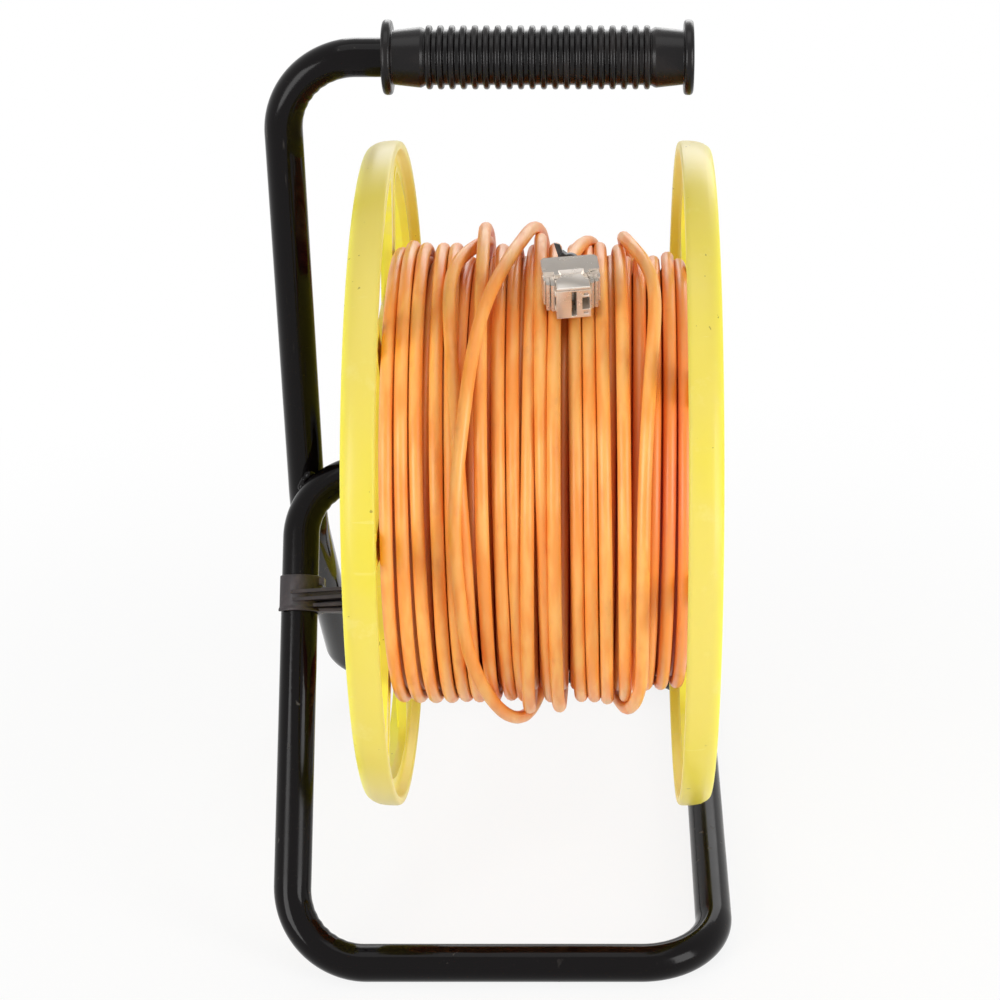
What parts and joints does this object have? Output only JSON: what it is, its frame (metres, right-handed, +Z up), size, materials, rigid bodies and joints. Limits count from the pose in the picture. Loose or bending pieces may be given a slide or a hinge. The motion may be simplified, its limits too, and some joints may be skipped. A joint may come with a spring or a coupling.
{
  "type": "extension cord reel",
  "caption": "Hand-held cable drum on a one-piece bent tube stand with a ribbed grip; windowed plastic flanges, wound data cable with a metal network jack, and a brake clip.",
  "frame": {"origin": "middle of the box round the reel, on the plane of the floor it stands on", "axes": "+Z up; X runs along the axle, from the welded left side to the free right end; -Y is the front, the side the jack looks to"},
  "size_m": [0.2096, 0.3092, 0.4057],
  "materials": {
    "painted_tube": "gloss black paint",
    "grip_plastic": "semi-gloss black moulding",
    "drum_plastic": "yellow moulding, lightly scuffed",
    "bush_plastic": "off-white bearing plastic",
    "zinc_steel": "zinc plated",
    "cable_sheath": "satin orange sheath",
    "jack_metal": "nickel-plated die casting",
    "gold_contact": "gold-plated wires",
    "clamp_plastic": "dark grey moulding",
    "brake_rubber": "moulded rubber",
    "tie_plastic": "black nylon"
  },
  "bodies": {
    "frame": {"frame_tube": "painted_tube", "handle_grip": "grip_plastic", "handle_end_plug": "grip_plastic", "axle_washer_right": "zinc_steel", "axle_snap_ring": "zinc_steel", "axle_end_plug": "grip_plastic", "axle_stop_collar": "zinc_steel", "brake_clip": "clamp_plastic", "brake_pad": "brake_rubber"},
    "drum": {"flange_right": "drum_plastic", "flange_left": "drum_plastic", "drum_barrel": "drum_plastic", "hub_bush_right": "bush_plastic", "hub_bush_left": "bush_plastic", "tie_bolt_1": "zinc_steel", "tie_nut_1": "zinc_steel", "tie_bolt_2": "zinc_steel", "tie_nut_2": "zinc_steel", "tie_bolt_3": "zinc_steel", "tie_nut_3": "zinc_steel", "tie_bolt_4": "zinc_steel", "tie_nut_4": "zinc_steel", "cable_inner_layers": "cable_sheath", "cable_outer_layer": "cable_sheath", "jack_housing": "jack_metal", "jack_saddle": "jack_metal", "jack_latch": "jack_metal", "jack_contacts": "gold_contact", "cable_tie": "tie_plastic"}
  },
  "joints": [
    {"name": "drum_spin", "type": "hinge", "parent": "frame", "child": "drum", "pos_m": [0.01581, 0, 0.19], "axis": [1, 0, 0], "continuous": true}
  ]
}
